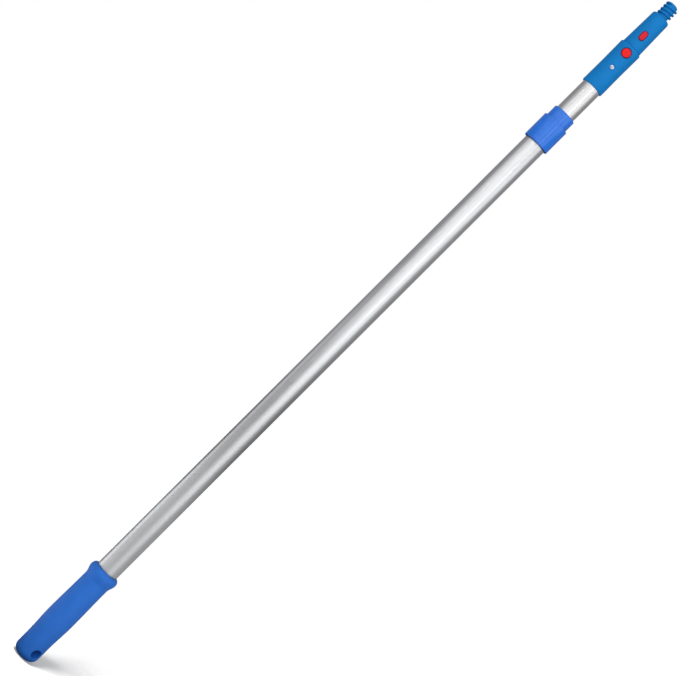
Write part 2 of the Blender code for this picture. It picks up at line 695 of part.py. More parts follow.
# Tool cone: moulded, its hollow spigot in the socket, its tip threaded for a brush or squeegee
def cone_adapter():
    spigot_z = -SPIGOT_LENGTH
    root_r = TIP_ROOT_D / 2
    major_r = TIP_MAJOR_D / 2
    core_r = TIP_CORE_D / 2
    top = CONE_LENGTH + TIP_LENGTH
    chamfer = SPIGOT_WALL / 3
    hollow_end = CONE_HOLLOW + hollow_r - core_r
    profile = [
        (0.0, top),
        *arc(root_r - TIP_ROUND, top - TIP_ROUND, TIP_ROUND, TIP_ROUND, 90.0, 0.0, 4),
        (root_r, CONE_LENGTH),
        (cone_top_r - CONE_CHAMFER, CONE_LENGTH),
        *arc(
            cone_top_r - CONE_CHAMFER, CONE_LENGTH - CONE_CHAMFER,
            CONE_CHAMFER, CONE_CHAMFER, 60.0, 0.0, 2,
        ),
        (cone_base_r, 0.0),
        (spigot_r, 0.0),
        (spigot_r, spigot_z + chamfer),
        (spigot_r - chamfer, spigot_z),
        (hollow_r, spigot_z),
        (hollow_r, CONE_HOLLOW),
        (core_r, hollow_end),
        (core_r, top - TIP_CAP),
        (0.0, top - TIP_CAP),
    ]
    look = material("cone_blue", "1074D2", 0.35)
    cone = keep(turned("cone_adapter", profile, closed=False), look)
    on_axis(cone, spigot_top_z, INNER_SECTION)

    crest = TIP_CREST / 2
    flank = (major_r - root_r) * math.tan(TIP_FLANK)
    first_z = CONE_LENGTH + crest + flank + TOUCH
    outline = thread_outline(root_r, major_r, first_z, crest, flank)
    thread = helper(ridge("tip_thread", outline, TIP_PITCH, TIP_TURNS, TIP_SEGMENTS))
    boolean(cone, on_axis(thread, spigot_top_z, INNER_SECTION), "UNION")

    lead_z = top - TIP_LEAD
    lead_r = root_r - TIP_ROUND
    shave_profile = [
        (2 * major_r, top + TIP_ROUND),
        (2 * major_r, lead_z),
        *arc(lead_r, lead_z, major_r - root_r + TIP_LEAD, TIP_LEAD, 0.0, 75.0, 5),
        (lead_r, top + TIP_ROUND),
    ]
    shave = helper(turned("tip_round_cutter", shave_profile, closed=True))
    boolean(cone, on_axis(shave, spigot_top_z, INNER_SECTION))

    hole_r = RELEASE_D / 2 + SLIDE
    window = helper(cylinder("spigot_window_cutter", hole_r, hollow_r / 2, 2 * spigot_r, 32))
    boolean(cone, facing(window, release_z, INNER_SECTION, FRONT))
    length = CATCH_LENGTH + 2 * SLIDE
    width = CATCH_WIDTH + 2 * SLIDE
    slot = helper(stadium("catch_slot_cutter", length, width, hollow_r / 2, 2 * cone_base_r))
    boolean(cone, facing(slot, catch_z, INNER_SECTION, FRONT))
    floor_r = catch_surface_r() - BUTTON_DISH_DEPTH
    dish = stadium(
        "catch_dish_cutter", length + 2 * BUTTON_DISH, width + 2 * BUTTON_DISH,
        floor_r, 2 * cone_base_r,
    )
    boolean(cone, facing(helper(dish), catch_z, INNER_SECTION, FRONT))


def flange_top(half_width):
    """How far out a flat flange of this half width reaches inside the cone's round hollow."""
    return math.sqrt(hollow_r**2 - half_width**2) - TOUCH


# Spring carrier: half-round nylon bar pushed up into the cone behind both buttons
def spring_carrier():
    low = release_z - CARRIER_MARGIN
    high = catch_z + CARRIER_MARGIN
    radius = hollow_r - TOUCH
    look = material("spring_carrier_nylon", "D6D6D2", 0.5)
    carrier = keep(cylinder("spring_carrier", radius, 0.0, high - low), look)
    on_axis(carrier, low, INNER_SECTION)
    size = 2 * (high - low)
    half = helper(box("carrier_half_cutter", (size, size, size), (0.0, 0.0, size / 2 - CARRIER_FACE)))
    boolean(carrier, facing(half, (low + high) / 2, INNER_SECTION, FRONT))
    pegs = ((release_z, RELEASE_SPRING_D, "release_peg"), (catch_z, CATCH_SPRING_D, "catch_peg"))
    for z, spring_d, name in pegs:
        peg_r = spring_d / 2 - SPRING_WIRE_D - TOUCH
        peg_top = PEG_HEIGHT - CARRIER_FACE
        peg = helper(cylinder(name, peg_r, -2 * CARRIER_FACE, peg_top, 16))
        boolean(carrier, facing(peg, z, INNER_SECTION, FRONT), "UNION")


# Release button: round, holds the cone in the socket until it is pressed in
def release_button(surface_r):
    top = surface_r + RELEASE_PROUD
    radius = RELEASE_D / 2
    flange_r = radius + BUTTON_LIP
    flange_z = flange_top(flange_r)
    pocket_r = RELEASE_SPRING_D / 2 + SLIDE
    roof = top - SPRING_ROOF
    profile = [
        (0.0, top),
        *arc(0.0, top - RELEASE_DOME, radius, RELEASE_DOME, 70.0, 0.0, 5),
        (radius, flange_z),
        (flange_r, flange_z),
        (flange_r, flange_z - BUTTON_FLANGE),
        (pocket_r, flange_z - BUTTON_FLANGE),
        (pocket_r, roof),
        (0.0, roof),
    ]
    look = material("release_button_red", "F0201C", 0.3)
    button = keep(turned("release_button", profile, closed=False, segments=32), look)
    facing(button, release_z, INNER_SECTION, FRONT)
    return roof


# Tool catch: slot-shaped, springs into the tool's handle and keeps it from turning
def tool_catch():
    top = catch_surface_r() + CATCH_PROUD
    flange_z = flange_top(CATCH_WIDTH / 2 + BUTTON_LIP)
    flange_low = flange_z - BUTTON_FLANGE
    roof = top - SPRING_ROOF
    look = material("tool_catch_red", "DE1630", 0.3)
    catch = keep(stadium("tool_catch", CATCH_LENGTH, CATCH_WIDTH, flange_low, top), look)
    facing(catch, catch_z, INNER_SECTION, FRONT)
    weights = catch.data.attributes.new("bevel_weight_edge", "FLOAT", "EDGE")
    for edge in catch.data.edges:
        lower_end = min(catch.data.vertices[i].co.z for i in edge.vertices)
        weights.data[edge.index].value = float(lower_end > top - TOUCH)
    bevel = catch.modifiers.new("rounded_top", "BEVEL")
    bevel.limit_method = "WEIGHT"
    bevel.width = CATCH_ROUND
    bevel.segments = 3
    lip = 2 * BUTTON_LIP
    flange = stadium("catch_flange", CATCH_LENGTH + lip, CATCH_WIDTH + lip, flange_low, flange_z)
    boolean(catch, facing(helper(flange), catch_z, INNER_SECTION, FRONT), "UNION")
    pocket_r = CATCH_SPRING_D / 2 + SLIDE
    pocket = helper(cylinder("catch_pocket_cutter", pocket_r, 0.0, roof, 20))
    boolean(catch, facing(pocket, catch_z, INNER_SECTION, FRONT))
    return roof


def springs(release_roof, catch_roof):
    look = material("spring_steel", "8E9094", 0.3, 1.0)
    low = TOUCH - CARRIER_FACE
    release = coil("release_spring", RELEASE_SPRING_D, low, release_roof - TOUCH, look)
    facing(release, release_z, INNER_SECTION, FRONT)
    catch = coil("catch_spring", CATCH_SPRING_D, low, catch_roof - TOUCH, look)
    facing(catch, catch_z, INNER_SECTION, FRONT)


def smooth_round_faces():
    """Applies each part's modifiers and shades its round faces smooth, its corners sharp."""
    bpy.context.view_layer.update()
    graph = bpy.context.evaluated_depsgraph_get()
    for obj in list(PARTS.objects):
        if obj.type != "MESH":
            continue
        finished = bpy.data.meshes.new_from_object(obj.evaluated_get(graph))
        finished.name = obj.name
        finished.shade_smooth()
        finished.set_sharp_from_angle(angle=math.radians(30.0))
        obj.modifiers.clear()
        obj.data = finished


handle_grip()
tube_end_plug()
outer_tube()
ridge_z = collet_sleeve()
sleeve_rivets()
squeeze_ring()
lock_nut(ridge_z)
plug_groove_r, guide_z = tail_plug()
guide_ring(plug_groove_r, guide_z)
inner_tube()
rivet_recess_floor, socket_r = adapter_socket()
socket_rivets(rivet_recess_floor)
cone_adapter()
spring_carrier()
release_roof_r = release_button(socket_r)
catch_roof_r = tool_catch()
springs(release_roof_r, catch_roof_r)
smooth_round_faces()
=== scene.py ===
import math

import bpy
from mathutils import Euler, Matrix, Vector


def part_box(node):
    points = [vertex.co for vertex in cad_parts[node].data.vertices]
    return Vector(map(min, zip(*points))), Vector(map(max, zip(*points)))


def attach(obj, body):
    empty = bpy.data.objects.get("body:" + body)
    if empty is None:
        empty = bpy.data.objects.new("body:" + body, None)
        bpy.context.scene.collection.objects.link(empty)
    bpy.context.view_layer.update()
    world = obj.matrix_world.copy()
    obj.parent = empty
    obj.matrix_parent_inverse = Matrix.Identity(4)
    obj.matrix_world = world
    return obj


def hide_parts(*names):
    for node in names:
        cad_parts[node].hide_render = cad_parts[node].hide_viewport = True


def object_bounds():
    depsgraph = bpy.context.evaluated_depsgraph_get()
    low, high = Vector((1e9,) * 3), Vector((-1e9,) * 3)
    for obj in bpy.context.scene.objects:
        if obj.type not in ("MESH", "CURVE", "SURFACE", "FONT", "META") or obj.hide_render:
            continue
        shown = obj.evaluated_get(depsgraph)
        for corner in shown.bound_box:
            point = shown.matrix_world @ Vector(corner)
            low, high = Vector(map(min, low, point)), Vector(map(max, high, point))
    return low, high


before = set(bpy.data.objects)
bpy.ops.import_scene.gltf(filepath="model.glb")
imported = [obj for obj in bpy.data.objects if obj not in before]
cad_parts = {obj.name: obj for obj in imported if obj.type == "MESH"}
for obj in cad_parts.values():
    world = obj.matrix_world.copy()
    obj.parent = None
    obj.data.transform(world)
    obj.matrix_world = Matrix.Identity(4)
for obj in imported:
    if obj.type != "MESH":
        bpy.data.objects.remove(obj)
cad_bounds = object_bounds()

# ---- Camera, floor and lights --------------------------------------------------------------
# The pole stands on its butt on a pale studio floor. The camera looks at it level, from the
# side that the red buttons face, and is rolled so that the pole crosses the picture.

MM = 0.001
FRONT = math.radians(225.0)  # the side the buttons face, counted round the pole from +X
BACK = FRONT + math.pi

CAMERA_LENS = 100.0
CAMERA_DISTANCE = 2.309
CAMERA_ROLL = math.radians(45.07)
CAMERA_SHIFT = (-0.0108, -0.0092)
CENTRE_SHARE = 0.4983  # the camera's height, as a share of the pole's


def round_pole(degrees_right, distance, height):
    """A point beside the pole, so many degrees to the right of the camera's side."""
    side = FRONT + math.radians(degrees_right)
    return Vector((distance * math.cos(side), distance * math.sin(side), height))


def aim(place, height):
    """The turn of a light at this place that faces the pole's axis at this height."""
    return (Vector((0.0, 0.0, height)) - place).to_track_quat("-Z", "Y").to_euler()


def linear(hex_colour):
    """Scene-linear RGBA of an sRGB hex colour."""
    channels = [int(hex_colour[i : i + 2], 16) / 255.0 for i in (0, 2, 4)]
    toned = [c / 12.92 if c <= 0.04045 else ((c + 0.055) / 1.055) ** 2.4 for c in channels]
    return (*toned, 1.0)


def add_node(tree, kind, settings=None, links=None):
    """Adds a node, sets its properties or its inputs' values, and links its inputs."""
    node = tree.nodes.new(kind)
    for name, value in (settings or {}).items():
        if isinstance(name, str) and hasattr(node, name):
            setattr(node, name, value)
        else:
            node.inputs[name].default_value = value
    for name, source in (links or {}).items():
        tree.links.new(source, node.inputs[name])
    return node


pole_height = cad_bounds[1].z
camera_place = round_pole(0.0, CAMERA_DISTANCE, CENTRE_SHARE * pole_height)
level = Euler((math.pi / 2, 0.0, FRONT + math.pi / 2)).to_matrix()
camera_turn = (level @ Matrix.Rotation(CAMERA_ROLL, 3, "Z")).to_euler()
bpy.ops.object.camera_add(location=camera_place, rotation=camera_turn)
camera = bpy.context.object
camera.data.lens = CAMERA_LENS
camera.data.shift_x, camera.data.shift_y = CAMERA_SHIFT
bpy.context.scene.camera = camera
bpy.context.scene.view_settings.view_transform = "Standard"

FLOOR_SIZE = 14.0
FLOOR_DROP = 0.2 * MM  # below the butt
bpy.ops.mesh.primitive_plane_add(size=FLOOR_SIZE, location=(0.0, 0.0, -FLOOR_DROP))
floor = bpy.context.object
floor.name = "studio_floor"

# Studio paper. To the pole it is grey; to the camera it is white but for the soft shadow behind
# the butt, and further out it melts into the white backdrop.
SHADOW_MIDDLE = round_pole(155.0, 0.075, 0.0)
MELT_START, MELT_END = 0.1, 0.24  # distances from the shadow's middle
paper = bpy.data.materials.new("studio_paper")
paper.use_nodes = True
tree = paper.node_tree
tree.nodes.clear()
path = add_node(tree, "ShaderNodeLightPath")
lit = add_node(tree, "ShaderNodeBsdfDiffuse", {"Color": linear("C4C4C4")})
glow = add_node(tree, "ShaderNodeEmission", {"Color": linear("FFFFFF"), "Strength": 0.2})
white = add_node(tree, "ShaderNodeAddShader", links={0: lit.outputs[0], 1: glow.outputs[0]})
clear = add_node(tree, "ShaderNodeBsdfTransparent")
place = add_node(tree, "ShaderNodeTexCoord").outputs["Object"]
off_middle = add_node(
    tree, "ShaderNodeVectorMath", {"operation": "DISTANCE", 1: SHADOW_MIDDLE}, {0: place}
)
melt = add_node(
    tree, "ShaderNodeMapRange",
    {"interpolation_type": "SMOOTHSTEP", "From Min": MELT_START, "From Max": MELT_END},
    {"Value": off_middle.outputs["Value"]},
)
shown = add_node(
    tree, "ShaderNodeMixShader",
    links={0: melt.outputs[0], 1: white.outputs[0], 2: clear.outputs[0]},
)
grey = add_node(tree, "ShaderNodeBsdfDiffuse", {"Color": linear("4E4E50")})
seen = add_node(
    tree, "ShaderNodeMixShader",
    links={0: path.outputs["Is Camera Ray"], 1: grey.outputs[0], 2: shown.outputs[0]},
)
add_node(tree, "ShaderNodeOutputMaterial", links={"Surface": seen.outputs[0]})
floor.data.materials.append(paper)

world = bpy.data.worlds.new("studio")
bpy.context.scene.world = world
world.use_nodes = True
tree = world.node_tree
tree.nodes.clear()
path = add_node(tree, "ShaderNodeLightPath")
backdrop = add_node(tree, "ShaderNodeBackground", {"Color": linear("FFFFFF"), "Strength": 1.0})
room = add_node(tree, "ShaderNodeBackground", {"Color": linear("FAFBFF"), "Strength": 0.35})
seen = add_node(
    tree, "ShaderNodeMixShader",
    links={0: path.outputs["Is Camera Ray"], 1: room.outputs[0], 2: backdrop.outputs[0]},
)
add_node(tree, "ShaderNodeOutputWorld", links={"Surface": seen.outputs[0]})


def soft_light(name, place, turn, width, tall, radiance):
    """A rectangular soft light of this radiance, which the camera doesn't see."""
    bpy.ops.object.light_add(type="AREA", location=place, rotation=turn)
    lamp = bpy.context.object
    lamp.name = name
    lamp.data.shape = "RECTANGLE"
    lamp.data.size, lamp.data.size_y = width, tall
    lamp.data.energy = math.pi * width * tall * radiance
    lamp.visible_camera = False


# A light tent round the pole's front and sides: three tiers of soft walls, then paper on the
# floor. Each row is a wall or a paper: where it is, the span it covers in degrees right of the
# camera, and its radiance.
PANEL_DISTANCE = 2.2
PANEL_STEP = 18
WALLS = (
    ("upper", -85, -45, 0.8), ("upper", -27, 9, 1.2), ("upper", 9, 45, 0.6), ("upper", 45, 85, 1.3),
    ("middle", -63, -45, 0.4), ("middle", -27, 9, 1.3), ("middle", 9, 45, 0.6),
    ("middle", 45, 63, 1.4),
    ("lower", -109, -85, 0.8), ("lower", -85, -45, 0.25), ("lower", -9, 9, 0.8),
    ("lower", 9, 63, 1.3), ("lower", 63, 85, 0.4),
)
TIER_HEIGHTS = {"upper": (1.4, 2.4), "middle": (0.7, 1.4), "lower": (0.05, 0.7)}


def spread(start, end, step):
    """Splits a span of degrees into equal parts about a step wide: their middles and half width."""
    count = max(1, round((end - start) / step))
    part = (end - start) / count
    return [start + (index + 0.5) * part for index in range(count)], math.radians(part / 2)


for tier, start, end, radiance in WALLS:
    low, high = TIER_HEIGHTS[tier]
    middles, half_angle = spread(start, end, PANEL_STEP)
    for degrees in middles:
        place = round_pole(degrees, PANEL_DISTANCE, (low + high) / 2)
        width = 2 * PANEL_DISTANCE * math.tan(half_angle)
        soft_light("tent_panel", place, aim(place, place.z), width, high - low, radiance)

PAPER_STEP = 24
PAPER_RISE = 4.0 * MM
PAPERS = (
    ("both", -120, -90, 1.3), ("both", -90, -36, 0.6), ("both", -36, 12, 0.45),
    ("near", 12, 60, 0.7), ("far", 12, 60, 1.05), ("both", 60, 150, 0.35),
)
PAPER_REACH = {"near": (0.12, 0.7), "far": (0.7, 2.0)}
for reach, start, end, radiance in PAPERS:
    middles, half_angle = spread(start, end, PAPER_STEP)
    for part in ("near", "far") if reach == "both" else (reach,):
        near, far = PAPER_REACH[part]
        distance = (near + far) / 2
        for degrees in middles:
            turn = (math.pi, 0.0, FRONT + math.radians(degrees))
            width = 2 * distance * math.tan(half_angle)
            place = round_pole(degrees, distance, PAPER_RISE)
            soft_light("floor_paper", place, turn, far - near, width, radiance)

# Two narrow strips, whose reflections draw the light lines down the glossy collar
STRIP_HALF_ANGLE = math.radians(2.5)
STRIP_HEIGHT, STRIP_TALL = 1.55, 1.7
STRIPS = {-40.0: 3.6, 24.0: 5.0}
strip_width = 2 * PANEL_DISTANCE * math.tan(STRIP_HALF_ANGLE)
for degrees, radiance in STRIPS.items():
    place = round_pole(degrees, PANEL_DISTANCE, STRIP_HEIGHT)
    soft_light("strip_light", place, aim(place, place.z), strip_width, STRIP_TALL, radiance)

# The high key box, and a twin that lights only the paper, to throw the shadow behind the butt
KEY_PLACE = round_pole(-23.0, 1.2, 2.2)
KEY_TARGET = 0.3
KEY_SIZE, KEY_RADIANCE = 0.8, 2.8
SHADOW_BOX_SIZE, SHADOW_BOX_RADIANCE = 0.45, 150.0
turn = aim(KEY_PLACE, KEY_TARGET)
soft_light("key_box", KEY_PLACE, turn, KEY_SIZE, KEY_SIZE, KEY_RADIANCE)
soft_light("shadow_box", KEY_PLACE, turn, SHADOW_BOX_SIZE, SHADOW_BOX_SIZE, SHADOW_BOX_RADIANCE)
shadow_box = bpy.context.object
lit_by_it = bpy.data.collections.new("lit_by_shadow_box")
lit_by_it.objects.link(floor)
shadow_box.light_linking.receiver_collection = lit_by_it

# ---- Outer tube ----------------------------------------------------------------------------
# The lower section is a 30 mm aluminium tube with a 1 mm wall, drawn and satin anodised. Two
# small rivet holes under the collar hold the collet sleeve.

ROUND = 128
OUTER_WALL = 1.0 * MM
CUT_EDGE = 0.15 * MM
DIE_LINE_MM, DIE_LINE_LENGTH_MM = 0.8, 140.0
SLEEVE_RIVET_HOLE_R = 1.9 * MM


def use(piece):
    """Makes a piece the only selected and active one."""
    bpy.ops.object.select_all(action="DESELECT")
    piece.select_set(True)
    bpy.context.view_layer.objects.active = piece


def settle(piece):
    """Bakes a piece's place and turn into its mesh."""
    use(piece)
    bpy.ops.object.transform_apply(location=True, rotation=True, scale=True)
    return piece


def apply(piece, kind, **settings):
    """Adds a modifier with these settings and applies it."""
    modifier = piece.modifiers.new(kind.lower(), kind)
    for name, value in settings.items():
        setattr(modifier, name, value)
    use(piece)
    bpy.ops.object.modifier_apply(modifier=modifier.name)


def carve(piece, tool, operation="DIFFERENCE"):
    """Cuts the piece with a tool, or joins the tool to it, and takes the tool away."""
    apply(piece, "BOOLEAN", operation=operation, solver="EXACT", object=tool)
    bpy.data.objects.remove(tool, do_unlink=True)


def point_out(piece, height, side):
    """Turns a piece's own +Z straight out of the pole at this height and side."""
    piece.rotation_euler = (0.0, math.radians(90.0), side)
    piece.location = (0.0, 0.0, height)
    return settle(piece)


def middle(node):
    """Height of a node's middle."""
    low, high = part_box(node)
    return (low.z + high.z) / 2.0


def drill(piece, radius, start, height, side):
    """Drills a round hole into the pole's side, from this far off its axis outwards."""
    bpy.ops.object.select_all(action="DESELECT")
    reach = 20.0 * MM
    bpy.ops.mesh.primitive_cylinder_add(
        vertices=48, radius=radius, depth=reach, location=(0.0, 0.0, start + reach / 2)
    )
    bit = settle(bpy.context.object)
    carve(piece, point_out(bit, height, side))


def soften(piece, degrees=32.0):
    """Shades round faces smooth and leaves corners crisp."""
    use(piece)
    bpy.ops.object.shade_smooth_by_angle(angle=math.radians(degrees))


def finish(piece, look, slot, body, *nodes):
    """Gives a piece its material, its place among the moving bodies and the nodes it stands for."""
    piece.data.materials.clear()
    piece.data.materials.append(look)
    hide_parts(*nodes)
    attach(piece, body)


def anodised_aluminium(name, colour, roughness):
    """Drawn aluminium with a satin anodised skin: soft, wide highlights, and faint die lines
    that run along the tube."""
    look = bpy.data.materials.new(name)
    look.use_nodes = True
    tree = look.node_tree
    shader = tree.nodes["Principled BSDF"]
    shader.inputs["Metallic"].default_value = 1.0
    place = add_node(tree, "ShaderNodeTexCoord").outputs["Object"]
    across, along = 1.0 / (DIE_LINE_MM * MM), 1.0 / (DIE_LINE_LENGTH_MM * MM)
    stretched = add_node(
        tree, "ShaderNodeMapping", {"Scale": (across, across, along)}, {"Vector": place}
    )
    lines = add_node(
        tree, "ShaderNodeTexNoise", {"Scale": 1.0, "Detail": 3.0, "Roughness": 0.6},
        {"Vector": stretched.outputs[0]},
    )
    # Handling and the anodising bath leave patches about 25 mm across
    patches = add_node(tree, "ShaderNodeTexNoise", {"Scale": 40.0, "Detail": 2.0}, {"Vector": place})
    tone = add_node(tree, "ShaderNodeValToRGB", links={"Fac": lines.outputs["Fac"]})
    darker = [c * 0.98 for c in linear(colour)[:3]]
    tone.color_ramp.elements[0].position = 0.3
    tone.color_ramp.elements[0].color = (*darker, 1.0)
    tone.color_ramp.elements[1].position = 0.7
    tone.color_ramp.elements[1].color = linear(colour)
    tree.links.new(tone.outputs["Color"], shader.inputs["Base Color"])
    gloss = add_node(
        tree, "ShaderNodeMapRange", {"To Min": roughness - 0.04, "To Max": roughness + 0.04},
        {"Value": patches.outputs["Fac"]},
    )
    tree.links.new(gloss.outputs[0], shader.inputs["Roughness"])
    # Die lines are a few microns deep
    relief = add_node(
        tree, "ShaderNodeBump", {"Strength": 0.05, "Distance": 0.004 * MM},
        {"Height": lines.outputs["Fac"]},
    )
    tree.links.new(relief.outputs[0], shader.inputs["Normal"])
    return look


outer_low, outer_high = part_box("outer_tube")
outer_r = outer_high.x
bpy.ops.object.select_all(action="DESELECT")
bpy.ops.mesh.primitive_cylinder_add(
    vertices=ROUND, radius=outer_r, depth=outer_high.z - outer_low.z, end_fill_type="NOTHING",
    location=(0.0, 0.0, (outer_low.z + outer_high.z) / 2),
)
outer_tube = settle(bpy.context.object)
outer_tube.name = "drawn_outer_tube"
apply(outer_tube, "SOLIDIFY", thickness=OUTER_WALL, offset=-1.0)
apply(outer_tube, "BEVEL", width=CUT_EDGE, segments=2, limit_method="ANGLE")
SLEEVE_RIVETS = {"sleeve_rivet_left": FRONT - math.pi / 2, "sleeve_rivet_right": FRONT + math.pi / 2}
for rivet, side in SLEEVE_RIVETS.items():
    drill(outer_tube, SLEEVE_RIVET_HOLE_R, outer_r / 2, middle(rivet), side)
soften(outer_tube)
outer_aluminium = anodised_aluminium("satin_anodised_outer", "CFD0D1", 0.36)
finish(outer_tube, outer_aluminium, "outer_aluminium", "outer_section", "outer_tube")

# ---- Tube end plug -------------------------------------------------------------------------
# A black moulded plug in the outer tube's lower end, which keeps the cut edge from working
# through the soft grip. It can't be seen with the grip on, so its frame solid stays.

GRAIN_MM = 0.45  # mould texture; a real one is about 0.1 mm, too fine to show


def moulded_plastic(name, colour, roughness, relief_mm=0.012, specular=0.25):
    """Injection-moulded plastic: dyed through, with the fine even grain of a spark-eroded mould,
    and a faint unevenness of gloss from the melt's flow."""
    look = bpy.data.materials.new(name)
    look.use_nodes = True
    tree = look.node_tree
    shader = tree.nodes["Principled BSDF"]
    shader.inputs["IOR"].default_value = 1.5
    shader.inputs["Specular IOR Level"].default_value = specular
    place = add_node(tree, "ShaderNodeTexCoord").outputs["Object"]
    flow = add_node(
        tree, "ShaderNodeTexNoise", {"Scale": 1.0 / (18.0 * MM), "Detail": 3.0}, {"Vector": place}
    )
    tone = add_node(tree, "ShaderNodeValToRGB", links={"Fac": flow.outputs["Fac"]})
    dyed = linear(colour)
    tone.color_ramp.elements[0].position = 0.3
    tone.color_ramp.elements[0].color = (*[c * 0.94 for c in dyed[:3]], 1.0)
    tone.color_ramp.elements[1].position = 0.7
    tone.color_ramp.elements[1].color = (*[min(c * 1.05, 1.0) for c in dyed[:3]], 1.0)
    tree.links.new(tone.outputs["Color"], shader.inputs["Base Color"])
    gloss = add_node(
        tree, "ShaderNodeMapRange", {"To Min": roughness - 0.05, "To Max": roughness + 0.05},
        {"Value": flow.outputs["Fac"]},
    )
    tree.links.new(gloss.outputs[0], shader.inputs["Roughness"])
    grains = add_node(
        tree, "ShaderNodeTexNoise", {"Scale": 1.0 / (GRAIN_MM * MM), "Detail": 2.0}, {"Vector": place}
    )
    relief = add_node(
        tree, "ShaderNodeBump", {"Strength": 0.4, "Distance": relief_mm * MM},
        {"Height": grains.outputs["Fac"]},
    )
    tree.links.new(relief.outputs[0], shader.inputs["Normal"])
    return look


def keep_cad(node, look):
    """A frame solid whose shape is right stays, with this material."""
    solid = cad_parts[node]
    solid.data.materials.clear()
    solid.data.materials.append(look)


black_nylon = moulded_plastic("black_moulded_nylon", "1E1F21", 0.55)
keep_cad("tube_end_plug", black_nylon)

# ---- Hand grip -----------------------------------------------------------------------------
# A closed sleeve of soft blue plastic, moulded in one piece and pushed over the outer tube. It
# swells in the palm, flares into a bead at its mouth, and has a cross hole to hang the pole by.

FIT = 0.3 * MM
GRIP_WAIST_R, GRIP_WAIST_Z = 17.1 * MM, 25.0 * MM
GRIP_BELLY_R, GRIP_BELLY_Z = 18.4 * MM, 66.0 * MM
GRIP_NECK_R, GRIP_NECK_DROP = 17.65 * MM, 19.0 * MM
GRIP_BEAD_DROP = 6.3 * MM
GRIP_MOUTH_R = 16.2 * MM
BUTT_ROUND = 11.0 * MM
HANG_HOLE_R = 6.75 * MM
HANG_HOLE_Z = 15.3 * MM
HANG_HOLE_ROOF = 5.0 * MM
HANG_HOLE_LIP = 1.1 * MM


def arc(centre, radii, start, end, steps):
    """(r, z) points on an ellipse's arc, angles in degrees from +r towards +z."""
    points = []
    for step in range(steps + 1):
        angle = math.radians(start + (end - start) * step / steps)
        r = centre[0] + radii[0] * math.cos(angle)
        points.append((r, centre[1] + radii[1] * math.sin(angle)))
    return points


def eased(start, end, steps):
    """(r, z) points that leave start and arrive at end level, without the end itself."""
    points = []
    for step in range(steps):
        share = (1.0 - math.cos(math.pi * step / steps)) / 2.0
        z = start[1] + (end[1] - start[1]) * step / steps
        points.append((start[0] + (end[0] - start[0]) * share, z))
    return points


def draw_outline(name, points):
    """Draws a chain of edges through these (r, z) points, and stays in edit mode."""
    bpy.ops.object.select_all(action="DESELECT")
    bpy.ops.mesh.primitive_plane_add(size=MM)
    piece = bpy.context.object
    piece.name = piece.data.name = name
    bpy.ops.object.mode_set(mode="EDIT")
    bpy.ops.mesh.select_mode(type="VERT")
    bpy.ops.mesh.merge(type="CENTER")
    bpy.ops.transform.translate(value=(points[0][0], 0.0, points[0][1]))
    for (r, z), (next_r, next_z) in zip(points, points[1:]):
        bpy.ops.mesh.extrude_region_move(
            TRANSFORM_OT_translate={"value": (next_r - r, 0.0, next_z - z)}
        )
    bpy.ops.mesh.select_all(action="SELECT")
    return piece


def turned(name, points, segments=ROUND):
    """Spins an (r, z) outline round the pole's axis into a closed body."""
    piece = draw_outline(name, points)
    bpy.ops.mesh.spin(
        steps=segments, angle=2.0 * math.pi, center=(0.0, 0.0, 0.0), axis=(0.0, 0.0, 1.0)
    )
    bpy.ops.mesh.select_all(action="SELECT")
    bpy.ops.mesh.remove_doubles(threshold=0.002 * MM)
    bpy.ops.mesh.normals_make_consistent(inside=False)
    bpy.ops.object.mode_set(mode="OBJECT")
    return piece


def flared_tool(radius, lip, surface_r, start=0.0):
    """A round cutter that leaves a rounded lip where it comes out of the pole's round side."""
    top = surface_r + 4.0 * MM
    outline = [(0.0, start), (radius, start)]
    outline += arc((radius + lip, surface_r - lip), (lip, lip), 180.0, 98.0, 6)
    outline += [(outline[-1][0], top), (0.0, top)]
    tool = turned("flared_tool", outline, 64)
    for vertex in tool.data.vertices:
        if vertex.co.z > surface_r / 2:
            vertex.co.z -= surface_r - math.sqrt(surface_r**2 - vertex.co.y**2)
    return tool


grip_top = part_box("handle_grip")[1]
grip_bore_r = outer_r + FIT
grip_bead_z = grip_top.z - GRIP_BEAD_DROP
bead = (grip_top.x, grip_bead_z)
neck = (GRIP_NECK_R, grip_top.z - GRIP_NECK_DROP)
belly = (GRIP_BELLY_R, GRIP_BELLY_Z)
waist = (GRIP_WAIST_R, GRIP_WAIST_Z)
grip_floor_z = HANG_HOLE_Z + HANG_HOLE_R + HANG_HOLE_ROOF
outline = [(0.0, grip_floor_z), (grip_bore_r, grip_floor_z)]
outline += arc((grip_bore_r + FIT, grip_top.z - FIT), (FIT, FIT), 180.0, 90.0, 3)
outline += arc(
    (GRIP_MOUTH_R, grip_bead_z), (grip_top.x - GRIP_MOUTH_R, GRIP_BEAD_DROP), 90.0, 6.0, 14
)
outline += eased(bead, neck, 14) + eased(neck, belly, 22) + eased(belly, waist, 18) + [waist]
outline += arc(
    (GRIP_WAIST_R - BUTT_ROUND, BUTT_ROUND), (BUTT_ROUND, BUTT_ROUND), 0.0, -90.0, 16
)
outline += [(0.0, 0.0)]
grip = turned("moulded_hand_grip", outline)
for side in (math.radians(90.0), math.radians(-90.0)):
    hole = flared_tool(HANG_HOLE_R, HANG_HOLE_LIP, GRIP_WAIST_R, -2.0 * MM)
    carve(grip, point_out(hole, HANG_HOLE_Z, side))
soften(grip)
grip_blue = moulded_plastic("soft_touch_blue", "246CCA", 0.55, relief_mm=0.02)
finish(grip, grip_blue, "grip_blue", "outer_section", "handle_grip")

# ---- Collet sleeve and its rivets ----------------------------------------------------------
# A threaded sleeve of natural nylon, riveted over the outer tube's upper end. The collar hides
# it and its two flush aluminium rivets, so their frame solids stay.

